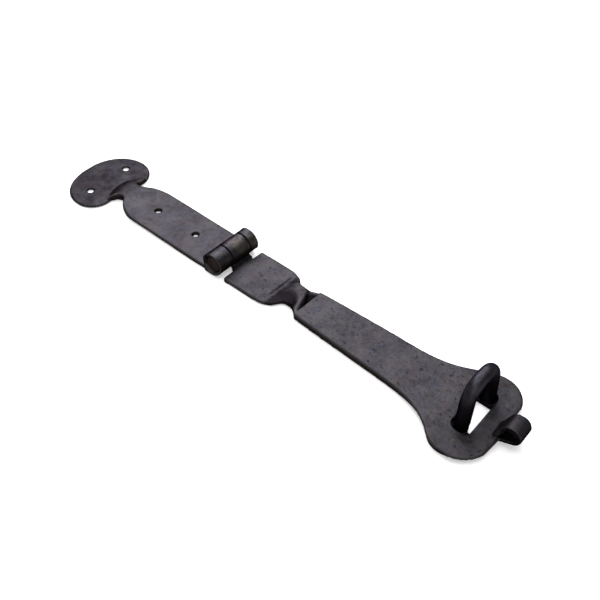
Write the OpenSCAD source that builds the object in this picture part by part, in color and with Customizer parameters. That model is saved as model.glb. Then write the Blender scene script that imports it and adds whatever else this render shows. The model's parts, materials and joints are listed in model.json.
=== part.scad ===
// Hand-forged hasp and staple: a screwed leaf, a pinned hasp that swings on it, and a round bar staple.
// Millimetres. +X runs from the bean end to the curl, +Z away from the surface it is screwed to.
// The origin is on that surface, under the middle of the whole set.

/* [Overall] */
// Distance from the origin back to the hinge pin
pin_back = 36.2; // [35.5:0.1:37]
// Width of the strap where it meets the hinge
strap_w = 28; // [26:0.5:30]
// Thickness of the leaf
plate_t = 2.6; // [2:0.1:2.6]

/* [Barrel] */
// Outer radius of the rolled knuckles
knuckle_r = 6.5; // [6:0.1:7]
// Radius of the hinge pin
pin_r = 3.8; // [3:0.1:3.9]
// Radius of the pin's peened heads
head_r = 5; // [4.5:0.1:5.5]
// Depth of the pin's peened heads
head_t = 1.2; // [0.8:0.1:1.6]
// Near end of the middle knuckle
mid_near = -4.6; // [-6:0.1:-4]
// Far end of the middle knuckle
mid_far = 9; // [8:0.1:10]
// Running clearance round the pin
pin_gap = 0.05; // [0.02:0.01:0.09]
// Clearance between neighbouring knuckles
knuckle_gap = 0.35; // [0.3:0.05:0.6]

/* [Leaf] */
// Distance from the pin to the bean end's tip
leaf_len = 116.6; // [115:0.1:118]
// Width of the bean end's near half
bean_near = 24.6; // [23.5:0.1:25]
// Width of the bean end's far half
bean_far = 23.8; // [22.5:0.1:24.2]
// Radius of the bean end's near lobe
lobe_near = 11.7; // [11.4:0.1:12]
// Radius of the bean end's far lobe
lobe_far = 13; // [11.7:0.1:13.2]
// Thickness of the bean end
bean_t = 1.5; // [1.3:0.1:2]
// Height of the rounded neck
leaf_neck_h = 4.6; // [4:0.1:5]
// Half width of the neck on its near side
leaf_neck_near = 5.6; // [5.2:0.1:6.4]
// Half width of the neck on its far side
leaf_neck_far = 6.3; // [5.2:0.1:6.8]
// Distance from the pin to the bean end's screw holes
bean_hole_x = 100.2; // [98:0.1:101]
// Shift of those screw holes to the far side
bean_hole_y = 0.5; // [0:0.1:1]
// Spacing of the bean end's screw holes
bean_hole_gap = 27; // [24:0.1:28]
// Radius of the bean end's screw holes
bean_hole_r = 2.3; // [2:0.1:2.6]
// Distance from the pin to the nearer strap screw hole
leaf_hole_x = 27.5; // [25:0.5:30]
// Spacing of the strap's screw holes
leaf_hole_gap = 29.8; // [28:0.1:31]
// Radius of the strap's screw holes
leaf_hole_r = 2.3; // [2:0.1:2.8]

/* [Hasp] */
// Distance from the pin to the hinge plate
notch_x = 9.5; // [9:0.1:11]
// Thickness of the hinge plate
hinge_plate_t = 2.2; // [2:0.1:2.6]
// Thickness of the long strap
strap_t = 4.2; // [4:0.1:4.5]
// Distance from the pin to the step where the long strap starts
step_x = 54.8; // [54:0.1:55.4]
// Thickness of the slotted end
end_t = 1.85; // [1.6:0.05:1.9]
// Height of the hasp's rounded neck
hasp_neck_h = 5; // [4.5:0.1:5.5]
// Half width of the hasp's neck on its near side
hasp_neck_near = 5.5; // [5.2:0.1:6.5]
// Half width of the hasp's neck on its far side
hasp_neck_far = 6.9; // [5.5:0.1:7.2]
// Width of the crescent valley between neck and strap
valley_w = 3.4; // [2:0.1:4]
// Length of that valley across the strap
valley_len = 15; // [12:0.5:16]
// Slot's edge on the hinge's side
slot_x0 = 156; // [155.5:0.1:156.2]
// Slot's edge on the curl's side, at its near end
slot_x1 = 167.1; // [166.9:0.1:167.5]
// How much the slot narrows to its far end
slot_taper = 1.7; // [1:0.1:1.7]
// Near end of the slot across the strap
slot_near = -15.5; // [-16:0.1:-15.3]
// Far end of the slot across the strap
slot_far = 15.2; // [15.1:0.1:15.5]
// Outer radius of the curl's round
curl_r = 5.2; // [5:0.1:5.4]
// Height of the middle of that round
curl_z = 9.9; // [9.6:0.1:10.4]
// Near end of the curl
curl_near = -6.4; // [-7:0.1:-6]
// Far end of the curl
curl_far = 3.4; // [3:0.1:6]
// Turn of the curl in plan, in degrees
curl_turn = 5; // [0:1:12]
// Thickness of the curl's wall
curl_t = 1.4; // [1.2:0.1:1.8]
// Distance from the pin to the middle of the curl's round
curl_x = 183.8; // [183.2:0.1:184]
// Distance from the pin to the lip that comes back to the plate
lip_x = 175; // [174.6:0.1:175.4]
// Distance from the pin to where the curl leaves the plate
curl_root = 177.6; // [177.4:0.1:178]

/* [Staple] */
// Distance from the pin to the staple
staple_x = 160.8; // [160.5:0.1:160.9]
// Radius of the staple's round bar
bar_r = 3.5; // [3.3:0.05:3.55]
// Height of the staple's top
staple_h = 29.2; // [27:0.1:30]
// Distance of the near leg's foot from the middle
near_foot = 11.5; // [11:0.1:11.7]
// Lean of the near leg towards the far side, in degrees
near_lean = 8.7; // [6:0.1:10]
// Bend of the loop at the top of the near leg
near_bend = 10.5; // [8:0.5:11]
// Distance of the far leg's foot from the middle
far_foot = 11; // [10.5:0.1:11]
// Lean of the far leg towards the far side, in degrees
far_lean = 0.8; // [0:0.1:0.8]
// Bend of the loop at the top of the far leg
far_bend = 6; // [5:0.5:6]
// Turn of the loop in plan, in degrees
staple_turn = 1.7; // [0:0.1:2]
// Thickness of the staple's forged pads
pad_t = 2; // [1.6:0.1:2]
// Radius of the pads' round ends
pad_r = 13; // [12:0.5:13.5]
// Reach of the near pad from the middle
pad_near = 29.3; // [28:0.1:30]
// Reach of the far pad from the middle
pad_far = 27.6; // [27:0.1:29]
// Distance of the pads' screw holes from the middle
pad_hole_y = 21.2; // [20:0.1:22]
// Radius of the pads' screw holes
pad_hole_r = 2.3; // [2:0.1:2.6]

/* [Hidden] */
$fn = 64;
half_w = strap_w / 2;
bore_r = pin_r + pin_gap;
end_z = strap_t - end_t;
slit = 0.3;          // gap where a rolled end closes on its plate
lap = 0.2;           // overlap of the staple's straight and bent lengths
hair = 0.03;         // small step that keeps joined faces from coinciding
big = 80;            // longer than any part is wide or tall
far = 1;
near = -1;
steel = [0.16, 0.16, 0.18];
worn_steel = [0.30, 0.29, 0.30];
bar_steel = [0.12, 0.12, 0.13];

// ---- outline helpers ----
function arc(c, rx, ry, a0, a1, n = 16) =
    [for (i = [0 : n]) let (a = a0 + (a1 - a0) * i / n) [c.x + rx * cos(a), c.y + ry * sin(a)]];
function bez(a, b, c, d, n = 10) =
    [for (i = [0 : n]) let (t = i / n, u = 1 - t)
        u * u * u * a + 3 * u * u * t * b + 3 * u * t * t * c + t * t * t * d];
function oval(c, rx, ry, a0, a1, e, n = 20) =
    [for (i = [0 : n]) let (a = a0 + (a1 - a0) * i / n)
        c + [rx * sign(cos(a)) * pow(abs(cos(a)), e), ry * pow(abs(sin(a)), e)]];
function flip(pts) = [for (i = [len(pts) - 1 : -1 : 0]) [pts[i].x, -pts[i].y]];

// Everything is drawn from the pin, then set back to the origin
module from_pin() {
    translate([-pin_back, 0, 0]) children();
}

// A side view drawn in x and z, given a width in y
module across(y0, y1) {
    translate([0, y1, 0]) rotate([90, 0, 0]) linear_extrude(y1 - y0) children();
}

// One rolled knuckle, with the plate of thickness t that feeds it from one side (-1 leaf, 1 hasp)
module knuckle(y0, y1, way, t) {
    across(y0, y1) difference() {
        union() {
            translate([0, knuckle_r]) circle(knuckle_r);
            translate([way < 0 ? -knuckle_r - 1 : 0, 0]) square([knuckle_r + 1, t]);
        }
        translate([0, knuckle_r]) circle(bore_r);
        translate([way < 0 ? -knuckle_r - 1 : 1.6, plate_t]) square([knuckle_r - 0.6, slit]);
    }
}

// ---- fixed leaf ----
// Half of the leaf's plan, from the shoulder round to the bean end's tip: tip_w is the tip's depth
// ahead of the lobe, e below 1 squares its curve
function leaf_half(tip_w, bean_hw, lobe_r, e, neck_hw) =
    let (lobe_x = -leaf_len + tip_w)
    concat(
        bez([-62, half_w], [-67.5, half_w], [-70.5, half_w - 1.4], [-74.6, 10.4]),
        bez([-75.1, 9.9], [-77.2, 7.8], [-78, neck_hw], [-81, neck_hw]),
        bez([-81.3, neck_hw], [-83.2, neck_hw + 0.2], [-84.6, neck_hw + 2], [lobe_x + lobe_r - 0.1, 10.4]),
        arc([lobe_x, bean_hw - lobe_r], lobe_r, lobe_r, -6, 90),
        oval([lobe_x, 0], tip_w, bean_hw, 95, 180, e)
    );

module leaf_plan() {
    polygon(concat(
        [[-knuckle_r, half_w]],
        leaf_half(20.5, bean_far, lobe_far, 0.98, leaf_neck_far),
        flip(leaf_half(19.3, bean_near, lobe_near, 0.9, leaf_neck_near)),
        [[-knuckle_r, -half_w]]
    ));
}

// The neck's side view: thin at the bean end, a rounded hump, then down to the strap
module leaf_neck_side() {
    polygon(concat(
        [[-91.3, 0]],
        bez([-91.3, bean_t], [-88.6, leaf_neck_h - 1], [-86, leaf_neck_h - 0.3], [-79, leaf_neck_h]),
        bez([-78.5, leaf_neck_h], [-74, leaf_neck_h], [-72, plate_t], [-66, plate_t]),
        [[-62, plate_t], [-62, 0]]
    ));
}

module leaf_neck() {
    intersection() {
        across(-half_w, half_w) leaf_neck_side();
        linear_extrude(big) difference() {
            leaf_plan();
            // the bean's lobes stay thin beside the neck
            for (s = [near, far]) translate([-97, s * 16]) circle(12);
        }
    }
}

module fixed_leaf() {
    color(steel) from_pin() difference() {
        union() {
            intersection() {
                linear_extrude(plate_t) leaf_plan();
                across(-bean_near, bean_far)
                    polygon([[-leaf_len, 0], [-leaf_len, bean_t], [-84, bean_t], [-76, plate_t],
                             [-knuckle_r, plate_t], [-knuckle_r, 0]]);
            }
            leaf_neck();
            knuckle(-half_w, mid_near, -1, plate_t);
            knuckle(mid_far, half_w, -1, plate_t);
        }
        // room for the middle knuckle
        translate([-knuckle_r - 0.6, mid_near, -big / 2])
            cube([big, mid_far - mid_near, big]);
        // seats of the pin's heads
        for (s = [near, far]) translate([0, s * half_w, knuckle_r])
            rotate([90, 0, 0]) cylinder(r = head_r + pin_gap, h = 2 * head_t, center = true);
        // screw holes
        for (s = [near, far]) translate([-bean_hole_x, bean_hole_y + s * bean_hole_gap / 2, 0])
            cylinder(r = bean_hole_r, h = big, center = true);
        for (i = [0, 1]) translate([-leaf_hole_x - i * leaf_hole_gap, 0, 0])
            cylinder(r = leaf_hole_r, h = big, center = true);
    }
}

// ---- hinge pin, riveted over at both ends ----
module hinge_pin() {
    color(worn_steel) from_pin() translate([0, 0, knuckle_r]) rotate([90, 0, 0]) {
        cylinder(r = pin_r, h = strap_w, center = true);
        for (s = [near, far]) translate([0, 0, s * (half_w - head_t / 2)])
            cylinder(r = head_r, h = head_t, center = true);
    }
}

// ---- hasp ----
// Plan of the hinge plate and neck: square shoulders at the notches, rounded ones at the neck
function plate_half(neck_hw) = concat(
    [[notch_x, half_w]],
    bez([30, half_w], [35, half_w], [39.3, 12], [41.2, 8.6]),
    bez([41.4, 8.3], [42.6, neck_hw + 0.4], [44.5, neck_hw], [46.6, neck_hw]),
    bez([47, neck_hw], [50, neck_hw], [52.2, neck_hw + 1.8], [step_x, 10])
);

// Half of the long strap's plan, flaring into a lobe of radii r about c and ending at edge_x
function strap_half(c, r, edge_x) = concat(
    bez([step_x + 0.2, 10.2], [76, 11.5], [96, 12.2], [117, 13]),
    bez([118, 13.1], [131, 13.9], [139.5, 16.6], [149.5, 22.8]),
    arc(c, r.x, r.y, 134, 15),
    bez([edge_x - 0.2, c.y + 3], [edge_x, c.y + 1], [edge_x, c.y - 2], [edge_x, 6])
);

module hasp_plan() {
    polygon(concat(
        plate_half(hasp_neck_far),
        strap_half([161.2, 11.6], [15.2, 14.6], 176),
        flip(strap_half([163.3, 14.4], [15.7, 15.6], 179)),
        flip(plate_half(hasp_neck_near))
    ));
}

// Side view of the plate, the humped neck, the strap and its thin raised end
module hasp_side() {
    polygon(concat(
        [[notch_x, 0], [notch_x, hinge_plate_t], [34.6, hinge_plate_t]],
        bez([35.4, hinge_plate_t], [39, hinge_plate_t + 0.2], [40, hasp_neck_h], [45, hasp_neck_h]),
        bez([45.5, hasp_neck_h], [49, hasp_neck_h], [51, strap_t], [step_x, strap_t]),
        [[curl_root + 1, strap_t], [curl_root + 1, end_z]],
        bez([146, end_z], [138, end_z], [132, 0.2], [112, 0])
    ));
}

// The crescent valley where the neck dips before the strap's step
module neck_valley() {
    r = (pow(valley_len / 2, 2) + pow(valley_w, 2)) / (2 * valley_w);
    translate([0, 0, strap_t - 1.4]) linear_extrude(big) intersection() {
        translate([step_x - valley_w + r, 1]) circle(r);
        translate([0, -big / 2]) square([step_x, big]);
    }
}

// The slot narrows a little to its far end, and its corners are rounded to clear the staple's bar
module slot() {
    linear_extrude(big, center = true) polygon(concat(
        arc([slot_x0 + 5, slot_near + 5], 5, 5, 180, 270),
        arc([slot_x1 - 3, slot_near + 3], 3, 3, 270, 360),
        arc([slot_x1 - slot_taper - 4.3, slot_far - 4.3], 4.3, 4.3, 0, 90),
        arc([slot_x0 + 4, slot_far - 4], 4, 4, 90, 180)
    ));
}

// Angle of the line from p that touches a circle, on its right (-1) or its left (1)
function touch(p, c, r, side) = atan2(c.y - p.y, c.x - p.x) + side * asin(r / norm(c - p));

// The curl's side view, shrunk inwards by d: a round, and straight runs from it to root and lip
module curl_side(d) {
    c = [curl_x, curl_z];
    root = [curl_root, end_z];
    lip = [lip_x, strap_t + slit];
    a = touch(root, c, curl_r, -1);
    b = touch(lip, c, curl_r, 1);
    out_a = [sin(a), -cos(a)];
    out_b = [-sin(b), cos(b)];
    translate(c) circle(curl_r - d);
    polygon([root - d * out_a, c + (curl_r - d) * out_a, c, c + (curl_r - d) * out_b, lip - d * out_b]);
}

// The finger curl: the end tongue rolled up and over until its lip nearly meets the plate
module curl() {
    translate([curl_x, 0, 0]) rotate([0, 0, curl_turn]) translate([-curl_x, 0, 0])
        across(curl_near, curl_far) union() {
            difference() {
                curl_side(0);
                curl_side(curl_t);
                translate([lip_x - 1, strap_t - hair]) square([3, slit + hair]);
            }
            translate([lip_x - 4, end_z + hair]) square([curl_root - lip_x + 4, end_t - 2 * hair]);
        }
}

module hasp() {
    color(steel) from_pin() difference() {
        union() {
            difference() {
                intersection() {
                    linear_extrude(big) hasp_plan();
                    across(-big / 2, big / 2) hasp_side();
                }
                neck_valley();
            }
            // tongue between the notches
            linear_extrude(hinge_plate_t) polygon([
                [0, mid_near + knuckle_gap], [0, mid_far - knuckle_gap],
                [knuckle_r, mid_far - 1], [notch_x + 1, 6.8],
                [notch_x + 1, -6.4], [knuckle_r + 0.3, mid_near + knuckle_gap]]);
            knuckle(mid_near + knuckle_gap, mid_far - knuckle_gap, 1, hinge_plate_t);
            curl();
        }
        translate([0, 0, knuckle_r]) rotate([90, 0, 0]) cylinder(r = bore_r, h = big, center = true);
        slot();
    }
}

// ---- staple ----
// A straight length of the bar, a hair thicker so that it laps over the ends of the bends
module straight(length, run_on = lap) {
    translate([0, 0, -run_on]) cylinder(r = bar_r + hair, h = length + run_on + lap);
}

// One bend of the bar about a centre in y and z, from a0 to a1 degrees up from +Y
module bend(c, r, a0, a1) {
    translate([0, c.x, c.y]) rotate([90, 0, 90]) rotate([0, 0, a0])
        rotate_extrude(angle = a1 - a0) translate([r, 0]) circle(bar_r);
}

// The loop leans a little to the far side, and its feet are cut off level at the surface
module staple_loop() {
    top_z = staple_h - bar_r;
    near_z = top_z - near_bend * (1 - sin(near_lean));
    far_z = top_z - far_bend * (1 + sin(far_lean));
    near_c = [-near_foot + near_z * tan(near_lean) + near_bend * cos(near_lean), top_z - near_bend];
    far_c = [far_foot + far_z * tan(far_lean) - far_bend * cos(far_lean), top_z - far_bend];
    intersection() {
        rotate([0, 0, staple_turn]) {
            translate([0, -near_foot, 0]) rotate([-near_lean, 0, 0])
                straight(near_z / cos(near_lean), bar_r);
            translate([0, far_foot, 0]) rotate([-far_lean, 0, 0])
                straight(far_z / cos(far_lean), bar_r);
            bend(near_c, near_bend, 90, 180 - near_lean);
            bend(far_c, far_bend, -far_lean, 90);
            translate([0, near_c.x, top_z]) rotate([-90, 0, 0]) straight(far_c.x - near_c.x);
        }
        translate([-big / 2, -big / 2, 0]) cube(big);
    }
}

// Round-ended pads forged flat at the foot of each leg, from the leg's inner side or its middle
module staple_pad(side, inner, reach) {
    linear_extrude(pad_t) intersection() {
        translate([0, side * (reach - pad_r)]) circle(pad_r);
        translate([-pad_r, side > 0 ? inner : -big - inner]) square([2 * pad_r, big]);
    }
}

module staple() {
    color(bar_steel) from_pin() translate([staple_x, 0, 0]) difference() {
        union() {
            staple_loop();
            staple_pad(near, near_foot, pad_near);
            staple_pad(far, far_foot - bar_r + 0.1, pad_far);
        }
        for (s = [near, far]) translate([0, s * pad_hole_y, 0])
            cylinder(r = pad_hole_r, h = big, center = true);
    }
}

fixed_leaf();
hinge_pin();
hasp();
staple();
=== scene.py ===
"""Forged black hasp and staple: the looks of each CAD node, rebuilt as hand-forged, wax-blackened steel."""
import json
import math

import bpy
import numpy as np
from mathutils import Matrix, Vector


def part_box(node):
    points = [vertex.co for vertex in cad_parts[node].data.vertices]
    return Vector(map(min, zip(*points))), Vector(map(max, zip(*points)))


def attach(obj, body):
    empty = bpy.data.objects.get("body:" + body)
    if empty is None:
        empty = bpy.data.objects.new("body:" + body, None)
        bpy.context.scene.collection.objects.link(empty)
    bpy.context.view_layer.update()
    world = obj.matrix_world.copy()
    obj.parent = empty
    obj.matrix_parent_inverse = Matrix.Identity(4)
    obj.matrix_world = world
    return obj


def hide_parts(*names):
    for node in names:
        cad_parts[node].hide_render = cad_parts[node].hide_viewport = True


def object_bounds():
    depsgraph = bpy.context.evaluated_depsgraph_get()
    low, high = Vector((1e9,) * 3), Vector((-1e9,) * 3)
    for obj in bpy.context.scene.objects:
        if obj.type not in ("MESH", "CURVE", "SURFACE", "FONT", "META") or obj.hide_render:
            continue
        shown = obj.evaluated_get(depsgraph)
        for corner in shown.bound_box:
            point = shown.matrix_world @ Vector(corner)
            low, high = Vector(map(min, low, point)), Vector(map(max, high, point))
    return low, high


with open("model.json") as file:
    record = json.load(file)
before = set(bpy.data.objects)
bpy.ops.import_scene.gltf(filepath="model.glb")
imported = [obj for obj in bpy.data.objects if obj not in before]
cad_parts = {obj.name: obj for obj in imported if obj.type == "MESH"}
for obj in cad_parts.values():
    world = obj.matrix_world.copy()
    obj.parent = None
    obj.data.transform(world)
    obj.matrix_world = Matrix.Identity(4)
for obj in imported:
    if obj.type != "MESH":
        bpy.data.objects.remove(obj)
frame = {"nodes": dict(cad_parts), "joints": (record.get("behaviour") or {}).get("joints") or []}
cad_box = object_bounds()

MM = 0.001
PIN = np.array(frame["joints"][0]["pos_m"]) / MM
STRAP_HALF = -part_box("hinge_pin")[0].y / MM
BARREL_R = PIN[2]

# Places along the set, in millimetres from the hinge pin
BEAN_CREASE = -91.2      # where the bean end turns up into the leaf's neck
LEAF_SHOULDER = -66.0    # where the leaf is flat again
PLATE_CREASE = 34.6      # where the hinge plate turns up into the hasp's neck
STRAP_STEP = 54.8        # where the long strap starts
LOBE_SIDE = (150, -23)   # along and across, on the near lobe's side towards the pin
SLOT_MID = 160.8         # middle of the slot and of the staple
CURL_MID = 183.8         # middle of the finger curl
CURL_Z = 9.9             # height of that middle
CURL_R = 5.2             # outer radius of the curl

BOX_SLACK = 0.3          # how far a piece may stand outside its own CAD node's box, but never the model's

# Grid of each new skin, in millimetres: one to shape by, and a finer one to finish
ROUGH_GRID = 0.4
LEAF_GRID = 0.3
PIN_GRID = 0.25
HASP_GRID = 0.35
STAPLE_GRIDS = (0.35, 0.3)

# The photograph's camera: lens and sensor in mm, aim and distance in mm, angles in degrees
LENS = 69.64
SENSOR = 36
AIM = (11.46, 2.35, 0)
DISTANCE = 603.8
VIEW_ANGLES = (42.12, 44.875)
ROLL = -0.087

# Studio: brightness of each light, and sizes in metres
WORLD_LIGHT = 0.45
SOFTBOX_LIGHT = 5.0
FILL_LIGHT = 1.6
OVERHEAD_LIGHT = 2.2
LAMP_SIZE = 0.6
FLOOR_HALF = 120.0
FLOOR_Z = -0.0002        # just under the pieces, so that the two never share a plane
FLOOR_GLOW = 0.35

# Thicknesses, in millimetres
BEAN_T = 1.5
LEAF_T = 2.6
PLATE_T = 2.2

# The leaf neck's side view: place along the set, and height of the middle of its top face
LEAF_NECK_LINE = ((-91.2, 1.5), (-89.5, 2.4), (-87, 3.5), (-84, 4.2), (-80.5, 4.6), (-77, 4.5),
                  (-74, 4.0), (-70, 3.1), (-66, 2.6))
# The hasp neck's crest runs slantwise: place along, place across, height
HASP_CREST = ((34.6, 0.5, 2.2), (38.7, 2.9, 3.9), (42.1, 4.8, 4.8), (46.8, 4.2, 5.0), (49.8, 0.9, 4.9),
              (52.3, -4.6, 4.7), (54.8, -9.5, 4.2))
# The valley between that crest and the step: place across, and where it starts along
HASP_VALLEY = ((-9.5, 54.8), (-4.6, 52.8), (0.9, 50.5), (4.2, 49.0), (7, 50.6), (9.5, 54.8))


# ---- noise and mesh helpers ----
def lattice(i, seed):
    """Repeatable numbers from 0 to 1 at whole-number places."""
    h = i[..., 0] * 374761393 + i[..., 1] * 668265263 + i[..., 2] * 1274126177 + seed * 974711
    h = (h ^ (h >> 13)) * 1103515245 & 0x7FFFFFFF
    h = (h ^ (h >> 16)) * 69069 & 0x7FFFFFFF
    return (h & 0xFFFFF) / 0xFFFFF


def noise(p, cell, seed):
    """Smooth noise from -1 to 1, with bumps about `cell` millimetres apart."""
    q = p / cell
    base = np.floor(q).astype(np.int64)
    f = q - base
    f = f * f * f * (f * (f * 6 - 15) + 10)
    total = np.zeros(len(p))
    for corner in np.ndindex(2, 2, 2):
        c = np.array(corner)
        weight = np.prod(np.where(c == 1, f, 1 - f), axis=1)
        total += weight * lattice(base + c, seed)
    return total * 2 - 1


def facets(p, cell, seed):
    """Hammer marks: squared distance to the nearest scattered blow, 0 at each blow, about 1 between them."""
    q = p / cell
    base = np.floor(q).astype(np.int64)
    best = np.full(len(p), 9.0)
    for step in np.ndindex(3, 3, 3):
        i = base + np.array(step) - 1
        blow = i + np.stack([lattice(i, seed + k) for k in range(3)], axis=-1)
        best = np.minimum(best, ((q - blow) ** 2).sum(axis=1))
    return best


def smooth(t):
    """0 below 0, 1 above 1, and an even ramp between."""
    t = np.clip(t, 0, 1)
    return t * t * (3 - 2 * t)


def near(value, centre, width):
    """1 at the centre, falling to nothing about two widths away."""
    return np.exp(-((value - centre) / width) ** 2)


def get_points(obj):
    """Vertices in millimetres, with x measured from the hinge pin."""
    co = np.empty(len(obj.data.vertices) * 3, np.float32)
    obj.data.vertices.foreach_get("co", co)
    return co.reshape(-1, 3).astype(float) / MM - (PIN[0], 0, 0)


def set_points(obj, p):
    obj.data.vertices.foreach_set("co", ((p + (PIN[0], 0, 0)) * MM).astype(np.float32).ravel())
    obj.data.update()


def get_normals(obj):
    no = np.empty(len(obj.data.vertices) * 3, np.float32)
    obj.data.vertices.foreach_get("normal", no)
    return no.reshape(-1, 3).astype(float)


def neighbours(obj):
    """Edge ends, and how many edges meet at each vertex."""
    e = np.empty(len(obj.data.edges) * 2, np.int32)
    obj.data.edges.foreach_get("vertices", e)
    a, b = e.reshape(-1, 2).T
    count = np.bincount(np.concatenate([a, b]), minlength=len(obj.data.vertices))
    return a, b, np.maximum(count, 1)


def average(values, links):
    """Mean of each vertex's neighbours."""
    a, b, count = links
    n = len(count)
    out = np.empty_like(values)
    for k in range(values.shape[1]):
        out[:, k] = (np.bincount(a, values[b, k], n) + np.bincount(b, values[a, k], n)) / count
    return out


def relax(obj, passes):
    """Rounds edges: each vertex moves towards its neighbours, then part of the way back."""
    links = neighbours(obj)
    p = get_points(obj)
    for strength in (0.5, -0.48) * passes:
        p += strength * (average(p, links) - p)
    set_points(obj, p)


def remesh(obj, voxel):
    """An even skin of small faces over the same solid."""
    grid = obj.modifiers.new("grid", "REMESH")
    grid.mode = "VOXEL"
    grid.voxel_size = voxel * MM
    bpy.context.view_layer.update()
    skin = bpy.data.meshes.new_from_object(obj.evaluated_get(bpy.context.evaluated_depsgraph_get()))
    obj.modifiers.clear()
    old, obj.data = obj.data, skin
    bpy.data.meshes.remove(old)


def copy_of(node, name):
    """A new piece with the CAD node's shape."""
    obj = bpy.data.objects.new(name, frame["nodes"][node].data.copy())
    bpy.context.scene.collection.objects.link(obj)
    return obj


def swell(obj, amount):
    """Pushes walls out, and tops half as far, to make up for what smoothing takes off."""
    no = get_normals(obj)
    share = np.where(no[:, 2] > -0.4, 1 - 0.5 * np.abs(no[:, 2]), 0)
    set_points(obj, get_points(obj) + no * (amount * share)[:, None])


def press(obj, depth, walls=0.3):
    """Pushes the surface in along its normals by depth, in millimetres, and walls less than faces."""
    no = get_normals(obj)
    share = walls + (1 - walls) * np.abs(no[:, 2])
    set_points(obj, get_points(obj) - no * (np.maximum(depth, 0) * share)[:, None])


def keep_inside(obj, node):
    """Holds a piece inside the whole CAD model's box, and near its own node's."""
    low, high = (np.array(c) / MM - (PIN[0], 0, 0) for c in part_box(node))
    least, most = (np.array(c) / MM - (PIN[0], 0, 0) for c in cad_box)
    low, high = np.maximum(low - BOX_SLACK, least), np.minimum(high + BOX_SLACK, most)
    set_points(obj, np.clip(get_points(obj), low, high))


def square_rims(p, r, half, reach=1.0):
    """Draws a barrel's softened rims back out to near corners; r is its radius and half its half length."""
    x, y, z = p.T
    away = np.maximum(np.hypot(x, z - BARREL_R), 0.01)
    u = (away - r + reach) / reach
    v = (np.abs(y) - half + reach) / reach
    rim = (u > 0) & (v > 0) & (away < r + 0.8) & (z > LEAF_T + 0.3)
    grow = np.where(rim, np.hypot(u, v) / np.maximum(np.maximum(u, v), 0.01), 1)
    new_away = np.where(rim, r + reach * (np.minimum(u * grow, 1.0) - 1), away)
    y += np.where(rim, np.sign(y) * (half + reach * (np.minimum(v * grow, 1.0) - 1) - np.abs(y)), 0)
    x *= new_away / away
    z += (z - BARREL_R) * (new_away / away - 1)


def mark(obj, name, values):
    """Stores a number from 0 to 1 on each vertex, for the material."""
    values = np.clip(values, 0, 1).astype(np.float32)
    obj.data.attributes.new(name, "FLOAT", "POINT").data.foreach_set("value", values)


def mark_edges(obj):
    """Marks vertices that stand out (wear), lie in a hollow (grime), or face sideways or down, where walls
    get painted shade.
    """
    links = neighbours(obj)
    p, no = get_points(obj), get_normals(obj)
    bulge = average(((p - average(p, links)) * no).sum(axis=1)[:, None], links)[:, 0]
    mark(obj, "wear", (bulge - 0.012) / 0.03)
    mark(obj, "grime", (-bulge - 0.008) / 0.03)
    # Faces turned sideways or down: the mask for painted shade on the walls.
    mark(obj, "wall", 1.5 * (0.85 - no[:, 2]))


def finish_piece(obj, node, body, material):
    keep_inside(obj, node)
    mark_edges(obj)
    obj.data.materials.clear()
    obj.data.materials.append(material)
    obj.data.polygons.foreach_set("use_smooth", [True] * len(obj.data.polygons))
    obj.data.update()
    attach(obj, body)
    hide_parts(node)


def hammered(p, seed, depth=0.1, cell=7.0):
    """Depth of planishing marks and slow waves on a forged face."""
    return depth * (0.6 * facets(p, cell, seed) + 0.5 + 0.5 * noise(p, 2 * cell, seed + 7))


# ---- shapes of the two forged necks ----
def curve(value, points, column=1):
    """Smooth line through points given by their first column."""
    knots = np.array([q[0] for q in points], float)
    heights = np.array([q[column] for q in points], float)
    value = np.clip(value, knots[0], knots[-1])
    k = np.clip(np.searchsorted(knots, value) - 1, 0, len(knots) - 2)
    slopes = np.gradient(heights, knots)
    width = knots[k + 1] - knots[k]
    t = (value - knots[k]) / width
    return ((2 * t ** 3 - 3 * t ** 2 + 1) * heights[k]
            + (t ** 3 - 2 * t ** 2 + t) * width * slopes[k]
            + (3 * t ** 2 - 2 * t ** 3) * heights[k + 1] + (t ** 3 - t ** 2) * width * slopes[k + 1])


def leaf_top(x, y):
    """Height of the leaf's top face round its neck: a curved crease, a crown and a dent on the far side."""
    bow = np.where(y < 1, 0.035, 0.015) * (y - 1) ** 2
    along = x - bow * (1 - smooth((x - BEAN_CREASE) / 8))
    top = curve(along, LEAF_NECK_LINE)
    edge = np.clip((y - 3.6) / 5, 0, 1.3)
    top -= 0.9 * edge ** 2 * near(x, -79, 8) * (top - BEAN_T) / 3
    top -= 0.35 * near(x - 0.3 * y, -74.2, 1.1) * near(y, 4.6, 2.6)
    return top


def hasp_top(x, y):
    """Height of the hasp's top face round its neck: a groove, a slanting crest, a scoop and a valley."""
    side = y - curve(x, HASP_CREST)
    flank = 0.31 * (np.sqrt(side ** 2 + 7) - 2.65)
    top = curve(x, HASP_CREST, 2) - np.where(side < 0, flank, 0.03 * np.minimum(side, 6) ** 2) - PLATE_T
    top = PLATE_T - 0.3 + 0.5 * (top + 0.3 + np.sqrt((top + 0.3) ** 2 + 0.2))
    start = curve(y, HASP_VALLEY)
    t = np.clip((x - start) / np.maximum(STRAP_STEP - start, 0.3), 0, 1)
    top -= 2.1 * np.sqrt(np.clip(1 - ((y - 0.2) / 7.8) ** 2, 0, 1)) * (0.8 * smooth(t) + 0.2 * t)
    top = PLATE_T + (top - PLATE_T) * smooth((x - PLATE_CREASE) / 3)
    return top - 0.6 * near(x, PLATE_CREASE, 0.5) * (1 - smooth((np.abs(y - 1.5) - 7) / 3))


def underside(x, y, centre, length, half_width, lift):
    """Height of the rounded underside of a neck."""
    across = np.clip((np.abs(y) - 0.45 * half_width) / (0.55 * half_width), 0, 1.4)
    return lift * across ** 2 * near(x, centre, length)


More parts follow.
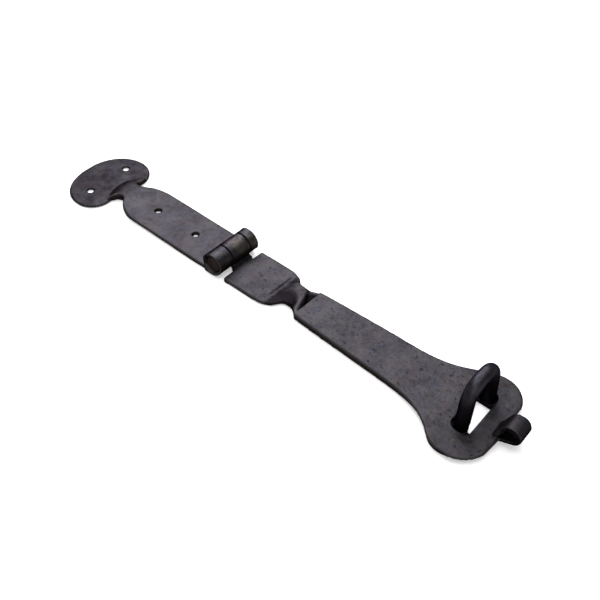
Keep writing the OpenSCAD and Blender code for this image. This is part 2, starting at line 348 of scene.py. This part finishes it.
# ---- pieces ----
def make_leaf(material):
    leaf = copy_of("fixed_leaf", "forged_leaf")
    remesh(leaf, ROUGH_GRID)
    p = get_points(leaf)
    x, y, z = p.T
    neck = (x > BEAN_CREASE - 6) & (x < LEAF_SHOULDER + 2)
    z[neck] = np.minimum(z, leaf_top(x, y))[neck]
    z[:] = np.maximum(z, 0.7 * smooth((-y - 12.4) / 1.6) * smooth((-x - 8) / 50) * (x > -76))
    set_points(leaf, p)
    remesh(leaf, LEAF_GRID)
    relax(leaf, 2)
    x, y, z = get_points(leaf).T
    flat = smooth((-BARREL_R - 2 - x) / 4)
    swell(leaf, 0.26 + 0.2 * flat)
    p = get_points(leaf)
    x, y, z = p.T
    square_rims(p, BARREL_R + 0.25, STRAP_HALF + 0.25)
    y -= 0.9 * (y < 0.9 - STRAP_HALF) * smooth((4.5 - z) / 3) * smooth((BARREL_R - np.abs(x)) / 2)
    set_points(leaf, p)
    press(leaf, hammered(p, 11, 0.07) * flat + hammered(p, 12, 0.08, 4.5) * (1 - flat), 0.1)
    barrel = (1 - flat) * smooth((z - LEAF_T - 1) / 1.5)
    blotches = 0.2 * noise(p, 4.5, 15) + 0.13 * noise(p, 1.7, 16)
    # Darker over the bean end, unevenly in blotches.
    dark_tone_and_painted_shade = (0.44 + blotches) * smooth((-73 - x) / 17)
    # Knuckle ends that face each other between the knuckles; they get painted shade.
    seam = (1 - flat) * (np.abs(get_normals(leaf)[:, 1]) > 0.4) * (np.abs(y) < STRAP_HALF - 4)
    # Painted shade on those knuckle ends and on the barrel's side towards the leaf, plus the darker bean
    # end.
    mark(leaf, "dark_tone_and_painted_shade", dark_tone_and_painted_shade + 0.8 * seam + 0.7 * barrel * smooth((-x - 2.2) / 2.5))
    mark(leaf, "rub", barrel)
    finish_piece(leaf, "fixed_leaf", "fixed", material)


def make_pin(material):
    pin = copy_of("hinge_pin", "peened_pin")
    remesh(pin, PIN_GRID)
    relax(pin, 4)
    p = get_points(pin)
    x, y, z = p.T
    r = np.hypot(x, z - BARREL_R)
    head = np.abs(y) > STRAP_HALF - 1.4
    dome = 0.02 + 0.5 * (r / 4.8) ** 4 + 0.25 * facets(p, 2.4, 31)
    y -= np.sign(y) * head * dome * (np.abs(y) > STRAP_HALF - 0.5)
    squeeze = 1 - 0.07 * head
    x *= squeeze
    z[:] = BARREL_R + (z - BARREL_R) * squeeze
    set_points(pin, p)
    # Painted shade round the rim of each pin head, where it meets the knuckle.
    mark(pin, "dark_tone_and_painted_shade", 0.7 * smooth((r - 4.1) / 0.4))
    mark(pin, "rub", 1 + 0 * r)
    finish_piece(pin, "hinge_pin", "fixed", material)


def make_hasp(material):
    hasp = copy_of("hasp", "forged_hasp")
    remesh(hasp, ROUGH_GRID)
    p = get_points(hasp)
    x, y, z = p.T
    neck = (x > PLATE_CREASE - 3) & (x < STRAP_STEP - 0.1)
    top = hasp_top(x, y)
    z[neck] = np.minimum(z, top)[neck]
    dip = neck & (x > 50.5) & (z > 2.6)
    z[dip] = top[dip]
    z[:] = np.maximum(z, underside(x, y, 47, 5, 7, 1.3))
    y += 0.25 * smooth((x - 12) / 10) * smooth((130 - x) / 30)
    x -= 1.1 * near(x, LOBE_SIDE[0], 8) * near(y, LOBE_SIDE[1], 6)
    x -= 1.2 * smooth((-y - 5.5) / 1.5) * smooth((14 - x) / 4) * (x > 6.5)
    y -= 1.6 * smooth((x - 5.4) / 0.8) * smooth((10.5 - x) / 2) * (y < -3.5) * (y > -6) * (z < 3)
    set_points(hasp, p)
    remesh(hasp, HASP_GRID)
    relax(hasp, 2)
    x, y, z = get_points(hasp).T
    plate = smooth((x - BARREL_R - 0.5) / 3)
    off_slot = np.maximum(smooth((np.abs(x - SLOT_MID) - 7.4) / 4), smooth((np.abs(y) - 16.5) / 4))
    in_curl = smooth((CURL_R - 0.5 - np.hypot(x - CURL_MID, z - CURL_Z)) / 0.4) * (x > CURL_MID - 7)
    seam = (1 - plate) * (np.abs(get_normals(hasp)[:, 1]) > 0.4)
    swell(hasp, (0.21 + 0.25 * plate - 0.2 * seam) * off_slot + 0.05 + 0.45 * in_curl)
    p = get_points(hasp)
    x, y, z = p.T
    strap = smooth((x - STRAP_STEP - 4) / 12) * smooth((CURL_MID - 9 - x) / 2)
    depth = hammered(p, 21, 0.07)
    depth += strap * 0.10 * smooth((noise(p, 2.3, 24) - 0.35) / 0.4) * smooth(noise(p, 9.0, 25) + 0.6)
    depth += strap * 0.06 * smooth((noise(p, 1.2, 26) - 0.3) / 0.4)
    press(hasp, depth, 0.1)
    barrel = (1 - plate) * smooth((z - 4) / 1.5)
    # Painted shade on the hasp's neck: the scoop beside the slanting crest, and the valley before the step.
    side = y - curve(x, HASP_CREST)
    scoop_shade = 0.85 * smooth((-side - 0.3) / 5.5) + 0.4 * smooth((side - 1.5) / 4)
    scoop_shade *= smooth((x - PLATE_CREASE - 0.5) / 2.5) * smooth((53 - x) / 3)
    valley_shade = 0.85 * smooth((x - curve(y, HASP_VALLEY) - 0.6) / 2) * (x < STRAP_STEP + 0.1) * (x > 48)
    # Painted shade on the tongue beside the barrel and on the barrel's side towards the leaf.
    dark_tone_and_painted_shade = 0.3 * near(x, BARREL_R - 0.5, 5) * (x > 3) * (z < 4.5) + 0.7 * barrel * smooth((-x - 2.2) / 2.5)
    # Darker towards the slotted end and the curl.
    dark_tone_and_painted_shade += 0.2 * smooth((x - SLOT_MID + 14) / 16) + 0.15 * smooth((x - CURL_MID + 6) / 2)
    # Painted shade on the curl's end faces, and below on the knuckle ends between the knuckles.
    curl_end_shade = 0.7 * smooth((x - CURL_MID + 5) / 2) * (np.abs(get_normals(hasp)[:, 1]) > 0.6)
    mark(hasp, "dark_tone_and_painted_shade", dark_tone_and_painted_shade + scoop_shade + valley_shade + curl_end_shade + 0.8 * seam * (z > LEAF_T + 1))
    mark(hasp, "rub", barrel)
    finish_piece(hasp, "hasp", "hasp", material)


def make_staple(material):
    staple = copy_of("staple", "round_bar_staple")
    remesh(staple, STAPLE_GRIDS[0])
    p = get_points(staple)
    x, y, z = p.T
    toe = (z < 2.3) * smooth((y + 15) / 3) * (y < -8) * smooth((SLOT_MID - 2.5 - x) / 1.5)
    y += 4.5 * toe
    set_points(staple, p)
    remesh(staple, STAPLE_GRIDS[1])
    relax(staple, 4)
    swell(staple, 0.25 * smooth((get_points(staple)[:, 2] - 4) / 2))
    p = get_points(staple)
    press(staple, hammered(p, 41, 0.06, 6.0))
    # Painted shade on the legs and on the feet under the hasp, darker towards the bottom.
    mark(staple, "dark_tone_and_painted_shade", 0.93 * (1 - smooth((p[:, 2] - 17) / 10)))
    mark(staple, "rub", 0 * p[:, 0])
    finish_piece(staple, "staple", "fixed", material)


# ---- materials ----
DARK = (0.005, 0.0037, 0.005)          # in pits and hollows, and as painted shade in gaps, under the hasp and on sides turned from the light
BLACK_MOTTLE_AND_WALL_SHADE = (0.014, 0.011, 0.010)     # in dark mottling, and as painted shade on walls and cut edges that face sideways or down
WORN = (0.07, 0.066, 0.066)            # where edges are rubbed bright
BRASSY = (0.070, 0.062, 0.053)         # where the barrel is rubbed bright


class Nodes:
    """Short calls for building a material's node tree."""

    def __init__(self, name):
        self.material = bpy.data.materials.new(name)
        self.material.use_nodes = True
        self.tree = self.material.node_tree
        self.tree.nodes.clear()

    def add(self, kind, inputs=None, **settings):
        node = self.tree.nodes.new("ShaderNode" + kind)
        for key, value in settings.items():
            setattr(node, key, value)
        for key, value in (inputs or {}).items():
            if isinstance(value, bpy.types.NodeSocket):
                self.tree.links.new(value, node.inputs[key])
            else:
                node.inputs[key].default_value = value
        return node

    def noise(self, where, scale, detail=4.0, roughness=0.6, distortion=0.0):
        inputs = {"Vector": where, "Scale": scale, "Detail": detail,
                  "Roughness": roughness, "Distortion": distortion}
        return self.add("TexNoise", inputs).outputs["Fac"]

    def ramp(self, value, low, high):
        """0 at low and 1 at high."""
        inputs = {"Value": value, "From Min": low, "From Max": high}
        return self.add("MapRange", inputs, interpolation_type="SMOOTHSTEP").outputs["Result"]

    def math(self, kind, a, b):
        return self.add("Math", {0: a, 1: b}, operation=kind).outputs[0]

    def mix(self, factor, a, b):
        node = self.add("Mix", {"Factor": factor}, data_type="RGBA")
        for socket, value in ((node.inputs[6], a), (node.inputs[7], b)):
            if isinstance(value, bpy.types.NodeSocket):
                self.tree.links.new(value, socket)
            else:
                socket.default_value = (*value, 1)
        return node.outputs[2]

    def attribute(self, name):
        return self.add("Attribute", attribute_name=name, attribute_type="GEOMETRY").outputs["Fac"]


def forged_steel(name, base, lighter, warm, blue, pits, shine, walls=0.85):
    """Wax-blackened steel: slow colour drift, mottling, pits, worn edges, dark hollows and rougher walls,
    with painted shade on the walls and wherever the shade attribute is set.
    """
    n = Nodes(name)
    where = n.add("TexCoord").outputs["Object"]
    wear, grime, wall, dark_tone_and_painted_shade, rub = (n.attribute(a) for a in ("wear", "grime", "wall", "dark_tone_and_painted_shade", "rub"))
    drift = n.noise(where, 110, 4, 0.65)
    mottle = n.noise(where, 380, 6, 0.72, 0.3)
    speck = n.noise(where, 1500, 3, 0.6)
    warm_patch = n.ramp(n.noise(where, 150, 5, 0.7, 0.6), 0.50, 0.66)
    blue_patch = n.ramp(n.noise(where, 130, 5, 0.68, 0.4), 0.50, 0.66)
    colour = n.mix(n.ramp(drift, 0.35, 0.65), base, lighter)
    colour = n.mix(n.math("MULTIPLY", blue_patch, 0.7), colour, blue)
    colour = n.mix(n.math("MULTIPLY", warm_patch, 0.6), colour, warm)
    colour = n.mix(n.math("MULTIPLY", n.ramp(mottle, 0.42, 0.7), 0.7), colour, lighter)
    colour = n.mix(n.math("MULTIPLY", n.ramp(mottle, 0.5, 0.3), 0.45), colour, BLACK_MOTTLE_AND_WALL_SHADE)
    pit = n.math("MULTIPLY", n.ramp(n.noise(where, 520, 5, 0.75, 0.5), 0.56, 0.70), pits)
    fleck = n.math("MULTIPLY", n.ramp(n.noise(where, 640, 4, 0.7), 0.60, 0.72), pits)
    colour = n.mix(n.math("MULTIPLY", rub, n.ramp(drift, 0.4, 0.6)), colour, BRASSY)
    colour = n.mix(n.math("MULTIPLY", fleck, 0.45), colour, WORN)
    colour = n.mix(pit, colour, DARK)
    # Painted shade: faces turned sideways or down are darkened, as strongly as `walls` says.
    colour = n.mix(n.math("MULTIPLY", wall, walls), colour, BLACK_MOTTLE_AND_WALL_SHADE)
    colour = n.mix(n.math("MULTIPLY", grime, 0.8), colour, DARK)
    wear = n.math("MULTIPLY", wear, n.math("SUBTRACT", 0.5, n.math("MULTIPLY", rub, 0.4)))
    colour = n.mix(wear, colour, WORN)
    # Painted shade in gaps, under the hasp and on sides turned from the light, plus a darker tone over the
    # bean end and the hasp's far end.
    colour = n.mix(dark_tone_and_painted_shade, colour, DARK)
    rough = n.math("ADD", n.math("MULTIPLY", mottle, 0.22), shine)
    rough = n.math("ADD", rough, n.math("MULTIPLY", n.math("ADD", pit, wall), 0.15))
    rough = n.math("SUBTRACT", rough, n.math("MULTIPLY", rub, 0.12))
    height = n.math("ADD", n.math("MULTIPLY", mottle, 0.5), n.math("MULTIPLY", speck, 0.25))
    height = n.math("SUBTRACT", height, n.math("MULTIPLY", pit, 0.6))
    bump = n.add("Bump", {"Height": height, "Strength": 0.5, "Distance": 0.00012})
    shader = n.add("BsdfPrincipled", {
        "Base Color": colour, "Roughness": rough, "Normal": bump.outputs[0],
        "Metallic": 1.0, "Specular Tint": (0.35, 0.33, 0.36, 1)})
    n.add("OutputMaterial", {"Surface": shader.outputs[0]})
    return n.material


def floor_material():
    n = Nodes("pale_floor")
    shader = n.add("BsdfPrincipled", {"Base Color": (0.86, 0.86, 0.86, 1), "Roughness": 0.9,
                                      "Specular IOR Level": 0.0, "Emission Color": (1, 1, 1, 1),
                                      "Emission Strength": FLOOR_GLOW})
    n.add("OutputMaterial", {"Surface": shader.outputs[0]})
    return n.material


# ---- studio ----
def direction(azimuth, elevation):
    """Unit vector from the object towards a place round it; azimuth 0 is -Y, and 90 is +X."""
    a, e = math.radians(azimuth), math.radians(elevation)
    return Vector((math.sin(a) * math.cos(e), -math.cos(a) * math.cos(e), math.sin(e)))


def make_camera():
    data = bpy.data.cameras.new("camera")
    data.sensor_width = SENSOR
    data.lens = LENS
    camera = bpy.data.objects.new("camera", data)
    bpy.context.scene.collection.objects.link(camera)
    back = direction(*VIEW_ANGLES)
    camera.location = Vector(AIM) * MM + back * DISTANCE * MM
    camera.rotation_euler = (-back).to_track_quat("-Z", "Y").to_euler()
    camera.rotation_euler.rotate_axis("Z", math.radians(ROLL))
    data.clip_start, data.clip_end = 0.01, 400
    bpy.context.scene.camera = camera


def add_light(name, kind, towards, energy, colour=(1, 1, 1)):
    data = bpy.data.lights.new(name, kind)
    data.energy = energy
    data.color = colour
    light = bpy.data.objects.new(name, data)
    light.rotation_euler = towards.to_track_quat("Z", "Y").to_euler()
    bpy.context.scene.collection.objects.link(light)
    return light


def make_studio():
    """A softbox behind, where the flat faces mirror it, a weak one in front, and light from above."""
    world = bpy.data.worlds.new("studio")
    world.use_nodes = True
    background = world.node_tree.nodes["Background"]
    background.inputs["Color"].default_value = (1, 1, 1, 1)
    background.inputs["Strength"].default_value = WORLD_LIGHT
    bpy.context.scene.world = world
    behind = direction(227.7, 42.2)
    softbox = add_light("softbox", "AREA", behind, SOFTBOX_LIGHT, (0.97, 0.94, 1.0))
    softbox.data.size = LAMP_SIZE
    softbox.location = Vector((-0.02, 0, 0)) + behind * 0.8
    front = direction(52, 28)
    fill = add_light("fill", "AREA", front, FILL_LIGHT, (1.0, 0.94, 1.0))
    fill.data.size = LAMP_SIZE
    fill.location = front * 0.9
    overhead = add_light("overhead", "SUN", direction(225, 80), OVERHEAD_LIGHT)
    overhead.data.angle = math.radians(70)
    mesh = bpy.data.meshes.new("floor")
    corners = [(-FLOOR_HALF, -FLOOR_HALF, 0), (FLOOR_HALF, -FLOOR_HALF, 0),
               (FLOOR_HALF, FLOOR_HALF, 0), (-FLOOR_HALF, FLOOR_HALF, 0)]
    mesh.from_pydata(corners, [], [(0, 1, 2, 3)])
    floor = bpy.data.objects.new("floor", mesh)
    floor.location.z = FLOOR_Z
    mesh.materials.append(floor_material())
    bpy.context.scene.collection.objects.link(floor)
    bpy.context.scene.view_settings.view_transform = "Standard"


make_camera()
make_studio()
STEEL = dict(base=(0.028, 0.027, 0.030), lighter=(0.048, 0.046, 0.050),
             warm=(0.045, 0.034, 0.036), blue=(0.032, 0.035, 0.047))
make_leaf(forged_steel("leaf_black", pits=0.35, shine=0.36, **STEEL))
make_hasp(forged_steel("hasp_black", pits=0.9, shine=0.37, **STEEL))
make_pin(forged_steel("pin_black", pits=0.2, shine=0.40, base=(0.03, 0.027, 0.026),
                      lighter=(0.045, 0.04, 0.038), warm=(0.05, 0.036, 0.03), blue=(0.03, 0.03, 0.034)))
make_staple(forged_steel("staple_black", pits=0.2, shine=0.24, walls=0.3, base=(0.030, 0.029, 0.034),
                         lighter=(0.040, 0.039, 0.046), warm=(0.026, 0.022, 0.022),
                         blue=(0.021, 0.023, 0.032)))
